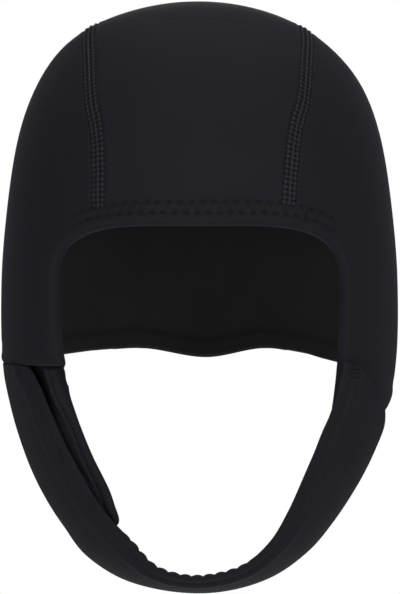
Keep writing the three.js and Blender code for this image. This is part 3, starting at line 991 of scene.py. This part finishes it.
# Keeps a layer inside the hem where it goes up under the flap
def tuckInside(point, below):
    c = runShape
    reach = np.linalg.norm(point, axis=-1)
    covered = cloth["hemWall"] + c["tuckGaps"] * cloth["layerGap"] + below
    limit = headRadius(unit(point)) - c["tuckSlant"] * covered
    hold = smooth(*c["tuckSpan"], point[..., 2])
    return point * (1 - hold * np.maximum(0, reach - limit) / reach)[..., None]


# How much of the width a rounded corner takes away, from where it starts to the end
def cornerCut(at, start, end, share):
    turned = np.clip((at - start) / (end - start), 0, 1)
    return share * (1 - np.sqrt(1 - turned**2 * 0.999))  # never quite to a point


# Small scallops that the hem stitch draws along the strap's front edge at the chin
def scallop(at, along):
    c = scallopShape
    ends = [c[key] + by for key in ("from", "to") for by in (-c["fade"], c["fade"])]
    wobble = c["wobble"] * np.sin(along / c["wobbleLength"])
    wave = np.abs(np.sin(math.pi * along / c["pitch"] + wobble)) ** c["roundness"]
    return window(*ends, at) * c["depth"] * (wave - c["middle"])


def strapRelief(fromFront, fromBack, point):
    c = strapShape
    lift = -c["edgeDrop"] * (1 - np.minimum(fromFront / c["edgeBand"], 1)) ** c["edgePower"]
    for name, away in (("groove", fromFront), ("crest", fromFront), ("backGroove", fromBack)):
        lift = lift + ridge(away, *c[name])
    return lift + slowWaves(point, c["unevenness"], c["waves"])


def chinStrap():
    c, s = strapShape, scallopShape
    at = np.linspace(0, c["end"], c["rows"])[:, None]
    across = sharesOf(*c["across"], c["frontStops"], c["backStops"])[None]
    cut = cornerCut(at, c["cornerFrom"], c["end"], c["cornerShare"])
    at, across = np.broadcast_arrays(at, cut + (1 - cut) * across)
    plain = runFace(at, across)
    fromFront, alongFront = nearestOnPath(plain, plain[:, 0])
    fromBack, _ = nearestOnPath(plain, plain[:, -1])
    pull = scallop(at, alongFront) * np.exp(-fromFront / s["reach"])
    aside = runNormal(at, across) * s["outward"] + unit(runAcross(at, across)) * s["sideways"]
    shift = -aside * pull[..., None]
    outer = runLayer(at, across, -strapRelief(fromFront, fromBack, plain)) + shift
    inner = runLayer(at, across, c["wall"]) + shift
    return clothPiece("strap", (outer, inner), c["bulges"], (plainJersey, lining), {})


# The tab: a hemmed front band that rises flush with the flap above it, and loop cloth behind the band, laid
# in the shape of the shaded gap under the strap's edge: partly real loop cloth, partly painted shade
def chinTab():
    c = tabShape
    at = np.linspace(c["to"], c["from"], c["rows"])
    front = tabFront(at) + cornerCut(at, c["cornerFrom"], c["from"], c["cornerShare"])
    share = sharesOf(*c["across"], c["frontStops"], c["backStops"])
    across = front[:, None] + (c["backEdge"] - front)[:, None] * share
    at = np.broadcast_to(at[:, None], across.shape)
    plain = tuckInside(runLayer(at, across, tabDepth), 0)
    fromFront, _ = nearestOnPath(plain, plain[:, 0])
    lift = sum(ridge(fromFront, *c[name]) for name in ("puff", "groove", "ridge"))
    rise = window(*c["flushSpan"], plain[..., 2]) * (1 - smooth(*c["flushWidth"], fromFront)) * c["flush"]
    outward = unit(plain * np.array([1.0, 1, 0]))
    outer = tuckInside(runLayer(at, across, tabDepth - lift), -lift) + outward * rise[..., None]
    inner = tuckInside(runLayer(at, across, tabDepth + c["wall"]), c["wall"])
    # the loop cloth's patch on the tab follows the shaded gap under the strap's edge, wide near the flap
    # and narrowing lower down: partly real loop cloth, partly painted shade
    pileAndShadeStart = c["pileAndShadeFrom"] + c["pileAndShadeTaper"] * np.maximum(0, c["pileAndShadeFull"] - at)
    pileAndShadePaint = np.where((fromFront > pileAndShadeStart) & (at > c["pileAndShadeLow"]), 2, 0)
    cloths = (plainJersey, lining, loopPileAndShade)
    return clothPiece("tab", (outer, inner), c["bulges"], cloths, {}, paint=pileAndShadePaint, roundest=c["roundest"])


def patch(name, span, fronts, depth, material):
    c = padShape
    at = np.linspace(*span, c["rows"])
    front = fronts(at)
    across = front[:, None] + (c["back"] - front)[:, None] * np.linspace(0, 1, c["columns"])
    at = np.broadcast_to(at[:, None], across.shape)
    height, alongWaves, acrossWaves = c["rough"]
    rough = height * np.sin(at * alongWaves) * np.sin(across * acrossWaves)
    outer = runLayer(at, across, depth - rough + c["sunk"])
    inner = runLayer(at, across, depth + c["wall"])
    return clothPiece(name, (outer, inner), {}, (material,), {}, turns=1)


strapPiece = chinStrap()
tabPiece = chinTab()
loopPiece = patch(
    "loop_pad",
    padShape["loop"],
    lambda at: tabFront(at) + np.interp(at, *padShape["insets"]),
    tabDepth - cloth["layerGap"] - padShape["wall"],
    loopPileAndShade,
)
hookPiece = patch(
    "hook_pad",
    padShape["hook"],
    lambda at: np.full(at.shape, padShape["front"]),
    strapShape["wall"] + cloth["layerGap"],
    hookTape,
)
print("strap, tab and pads made")


# Stitches
stitchShape = {
    "sides": 5,
    "endWidth": 0.55,  # of the thread's width elsewhere
    "unevenness": 0.06,
    "seamFirst": 4,  # stitches left out at the seam's brow end
    "seamLeftOut": 9,  # millimetres at its nape end
    "bumpAway": 2.15,
    "zigzagHeight": 4.1,
    "zigzagLift": 0.1,
}


# A closed round thread along a few points
def threadTube(points, radius):
    sides = stitchShape["sides"]
    points = np.array(points, float)
    ahead = unit(np.gradient(points, axis=0))
    first = unit(np.cross(ahead, np.array([0, 0, 1.0]) + ahead[:, [1, 2, 0]] * 1e-3))
    second = np.cross(ahead, first)
    turn = np.arange(sides) * 2 * math.pi / sides
    ring = first[:, None] * np.cos(turn)[None, :, None] + second[:, None] * np.sin(turn)[None, :, None]
    width = np.full(len(points), radius)
    width[[0, -1]] = radius * stitchShape["endWidth"]
    vertices = (points[:, None] + ring * width[:, None, None]).reshape(-1, 3)
    last = (len(points) - 1) * sides
    sidesOf = [(i + k, i + (k + 1) % sides) for i in range(0, last, sides) for k in range(sides)]
    faces = [(a, b, b + sides, a + sides) for a, b in sidesOf]
    return vertices, faces + [tuple(range(sides))[::-1], tuple(range(last, last + sides))]


# One stitch, along x with z out of the cloth, kept out of the scene until a row sets it
def threadUnit(name, tubes):
    vertices, faces = [], []
    for points, radius in tubes:
        more, moreFaces = threadTube(points, radius)
        faces += [tuple(k + len(vertices) for k in face) for face in moreFaces]
        vertices += more.tolist()
    made = makeObject(name, vertices, faces)
    work = bmesh.new()
    work.from_mesh(made.data)
    bmesh.ops.recalc_face_normals(work, faces=work.faces)
    work.to_mesh(made.data)
    work.free()
    scene.collection.objects.unlink(made)
    return made


bumpAway = stitchShape["bumpAway"]
crossThread = [(-0.2, -3.15, -0.1), (-0.15, -bumpAway, 0.3), (-0.08, -1.2, 0.08), (0, 0, 0.3)]
crossThread += [(-x, -y, z) for x, y, z in crossThread[-2::-1]]
seamTubes = [(crossThread, 0.27), ([(-1.1, 0, 0.34), (0, 0, 0.42), (1.1, 0, 0.34)], 0.52)]
for y in (-bumpAway, bumpAway):
    seamTubes.append(([(-0.8, y, -0.05), (-0.3, y, 0.28), (0.3, y, 0.28), (0.8, y, -0.05)], 0.5))
seamUnit = threadUnit("seamUnit", seamTubes)
rise, pitch = stitchShape["zigzagHeight"], needleRows["hemPitch"]
leg = [(0, 0, -0.3), (0.5, 0.22, 0), (1.15, 0.5, 0.04), (1.8, 0.78, 0), (2.3, 1, -0.3)]
upLeg = [(x, rise * share, z) for x, share, z in leg]
downLeg = [(pitch - x, y, z) for x, y, z in upLeg[::-1]]
hemUnit = threadUnit("hemUnit", [(upLeg, 0.2), (downLeg, 0.2)])
tackPoints = [(0, -1.8, -0.2), (0, -1.2, 0.12), (0, 1.2, 0.12), (0, 1.8, -0.2)]
tackUnit = threadUnit("tackUnit", [(tackPoints, 0.3)])
longPoints = [(-2.4, 0, -0.2), (-1.6, 0, 0.2), (1.6, 0, 0.2), (2.4, 0, -0.2)]
longUnit = threadUnit("longUnit", [(longPoints, 0.32)])


# Sets one stitch at each point, turned along its line and standing on the cloth
def stitchTree():
    tree = bpy.data.node_groups.new("stitchRow", "GeometryNodeTree")
    inputs = {"Geometry": "Geometry", "Stitch": "Object", "Thread": "Material"}
    inputs |= {"Unevenness": "Float", "Seed": "Int"}
    for name, kind in inputs.items():
        tree.interface.new_socket(name, in_out="INPUT", socket_type="NodeSocket" + kind)
    tree.interface.new_socket("Geometry", in_out="OUTPUT", socket_type="NodeSocketGeometry")
    start = tree.nodes.new("NodeGroupInput").outputs
    end = tree.nodes.new("NodeGroupOutput").inputs
    axes = {}
    for key, socket in (("stitchUp", "Primary Axis"), ("stitchAlong", "Secondary Axis")):
        name = {"Name": key}
        axes[socket] = addNode(tree, "GeometryNodeInputNamedAttribute", name, data_type="FLOAT_VECTOR")
    turn = addNode(tree, "FunctionNodeAxesToRotation", axes, primary_axis="Z", secondary_axis="X")
    low = mathNode(tree, "SUBTRACT", 1, start["Unevenness"])
    high = mathNode(tree, "ADD", 1, start["Unevenness"])
    spread = {2: low, 3: high, "Seed": start["Seed"]}
    chance = addNode(tree, "FunctionNodeRandomValue", spread, 1, data_type="FLOAT")
    points = addNode(tree, "GeometryNodeMeshToPoints", {"Mesh": start["Geometry"]})
    stitch = addNode(tree, "GeometryNodeObjectInfo", {"Object": start["Stitch"]}, "Geometry")
    places = {"Points": points, "Instance": stitch, "Rotation": turn, "Scale": chance}
    put = addNode(tree, "GeometryNodeInstanceOnPoints", places)
    real = addNode(tree, "GeometryNodeRealizeInstances", {"Geometry": put})
    painted = {"Geometry": real, "Material": start["Thread"]}
    tree.links.new(addNode(tree, "GeometryNodeSetMaterial", painted), end["Geometry"])
    return tree


stitchGroup = stitchTree()


def stitchRow(name, places, ups, alongs, stitch, yarn, seed):
    mesh = bpy.data.meshes.new(name + "_points")
    mesh.from_pydata(((places + np.array([0, 0, -originHeight])) * mm).tolist(), [], [])
    addFacts(mesh, {"stitchUp": ups, "stitchAlong": alongs}, "FLOAT_VECTOR", "vector")
    carrier = addObject(name + "_points", mesh)
    modifier = carrier.modifiers.new("stitches", "NODES")
    modifier.node_group = stitchGroup
    wanted = {"Stitch": stitch, "Thread": yarn, "Unevenness": stitchShape["unevenness"], "Seed": seed}
    for item in stitchGroup.interface.items_tree:
        if item.in_out == "INPUT" and item.name in wanted:
            modifier[item.identifier] = wanted[item.name]
    graph = bpy.context.evaluated_depsgraph_get()
    made = bpy.data.meshes.new_from_object(carrier.evaluated_get(graph))
    carrier.modifiers.remove(modifier)
    bpy.data.objects.remove(carrier)
    made.polygons.foreach_set("use_smooth", [True] * len(made.polygons))
    return addObject(name, made)


# Evenly spaced places along a path of points, and the directions there
def evenly(path, pitch, start, end):
    length = lengthsOf(path)
    stops = np.arange(start, end, pitch)

    def placesAt(by):
        return np.stack([np.interp(stops + by, length, path[:, k]) for k in range(3)], 1)

    return placesAt(0), unit(placesAt(0.5) - placesAt(-0.5))


def onCrown(places, sides):
    d = unit(places)
    return crownFace(d, sides)[0], headNormal(d)


stitchRows = []
for side in (-1, 1):
    # the holes lie at half pitches, so the cross threads stand at whole ones
    pitch = needleRows["seamPitch"]
    end = pathLength(seamLines[side]) - stitchShape["seamLeftOut"]
    place, along = evenly(seamLines[side], pitch, pitch * stitchShape["seamFirst"], end)
    name = "seam_stitches_" + sideName(side).lower()
    stitchRows.append(stitchRow(name, *onCrown(place, (side,)), along, seamUnit, thread, 3 + side))


# Zigzag beside an edge of the crown, along its span
def edgeStitches(name, path, span, seed):
    pitch = needleRows["hemPitch"]
    start = pitch * (math.ceil(span[0] / pitch) + 1)
    middle, along = evenly(path, pitch, start, span[1] - pitch)
    across = unit(np.cross(headNormal(unit(middle)), along))
    centre, up = onCrown(middle + across * (crownRelief["stitchRows"][0] + rise / 2), (-1, 1))
    anchor = centre - along * pitch / 2 - across * rise / 2 + up * stitchShape["zigzagLift"]
    return stitchRow(name, anchor, up, along, hemUnit, hemThread, seed)


stitchRows.append(edgeStitches("face_hem_stitches", facePath, zigzagSpans["face"], 11))
stitchRows.append(edgeStitches("lower_hem_stitches", lowerPath, zigzagSpans["lower"], 12))

# from, to and count along the run, share of its width, and depth under the strap's or the tab's face
tackRows = [
    ("strap_bar_tack", (0.06, 0.46, 4), 0.185, -0.45, tackUnit, hemThread, 21),
    ("tab_stitch", (13.55, 13.55, 1), 0.075, -0.4, longUnit, thread, 22),
    ("tab_edge_stitches", (11.15, 12.3, 15), 0.045, 0.15, tackUnit, hemThread, 23),
]
for name, run, across, depth, stitch, yarn, seed in tackRows:
    at = np.linspace(*run)
    if name.startswith("tab"):
        across = tabFront(at) + across
        depth = tabDepth + depth
    place = runLayer(at, across, depth)
    along = unit(runAlong(at, across))
    stitchRows.append(stitchRow(name, place, runNormal(at, across), along, stitch, yarn, seed))
print("stitches made")


# What stands for what
dressed = [
    (centrePiece, "centre_panel", "jersey"),
    (leftPiece, "side_panel_left", "jersey"),
    (rightPiece, "side_panel_right", "jersey"),
    (strapPiece, "chin_strap", "jersey"),
    (tabPiece, "chin_tab", "jersey"),
    (loopPiece, "loop_patch", "loop"),
    (hookPiece, "hook_patch", "hook"),
]
for piece, node, slotName in dressed:
    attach(piece, "root")
    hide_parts(node)

for row in stitchRows:
    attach(row, "root")

print("pieces dressed")

# Studio
studioPlan = {
    "floorDrop": 0.09,
    "floorSize": 1.5,
    "floorPaint": {"Base Color": (0.9, 0.9, 0.9, 1), "Roughness": 1, "Specular IOR Level": 0},
    "worldLight": 0.03,
}
# power, size and place of each light
studioLights = {
    "frontLight": (8.5, 0.5, (0, -1.4, 1.1)),
    "leftLight": (1.35, 0.5, (-0.8, -1.7, 0.1)),
    "rightLight": (1.55, 0.5, (0.8, -1.7, 0.1)),
    "topLight": (3.75, 0.5, (0, 0.1, 0.9)),
    "topRightLight": (1.4, 0.5, (0.9, -0.3, 0.8)),
    "lowLeftLight": (2.8, 0.5, (-0.35, -0.8, -0.3)),
    "lowRightLight": (2.8, 0.5, (0.35, -0.8, -0.3)),
    "backLight": (8, 0.7, (0, 1.9, 0.4)),
}
floorMesh = bpy.data.meshes.new("floor")
half = studioPlan["floorSize"] / 2
floorLevel = cadLow.z - studioPlan["floorDrop"]
floorCorners = [(x * half, y * half, floorLevel) for x, y in ((-1, -1), (1, -1), (1, 1), (-1, 1))]
floorMesh.from_pydata(floorCorners, [], [(0, 1, 2, 3)])
floor = addObject("floor", floorMesh)
floorMaterial, _, floorShader = newMaterial("paleFloor")
for key, value in studioPlan["floorPaint"].items():
    floorShader.inputs[key].default_value = value
floorMesh.materials.append(floorMaterial)

# the backdrop is white to the eye, and lights the cap less than it shows
world = bpy.data.worlds.new("studio")
world.use_nodes = True
backdrop = world.node_tree.nodes["Background"]
backdrop.inputs["Color"].default_value = (1, 1, 1, 1)
seen = addNode(world.node_tree, "ShaderNodeLightPath", output="Is Camera Ray")
brightness = {"Value": seen, "To Min": studioPlan["worldLight"], "To Max": 1}
strength = addNode(world.node_tree, "ShaderNodeMapRange", brightness)
world.node_tree.links.new(strength, backdrop.inputs["Strength"])
scene.world = world
scene.view_settings.view_transform = "Standard"


def softLight(name, power, size, place):
    lightData = bpy.data.lights.new(name, "AREA")
    lightData.energy = power
    lightData.size = size
    light = addObject(name, lightData)
    light.location = place
    aim = light.location - (cadLow + cadHigh) / 2
    light.rotation_euler = aim.to_track_quat("Z", "Y").to_euler()


for lightName, values in studioLights.items():
    softLight(lightName, *values)
print("studio set")
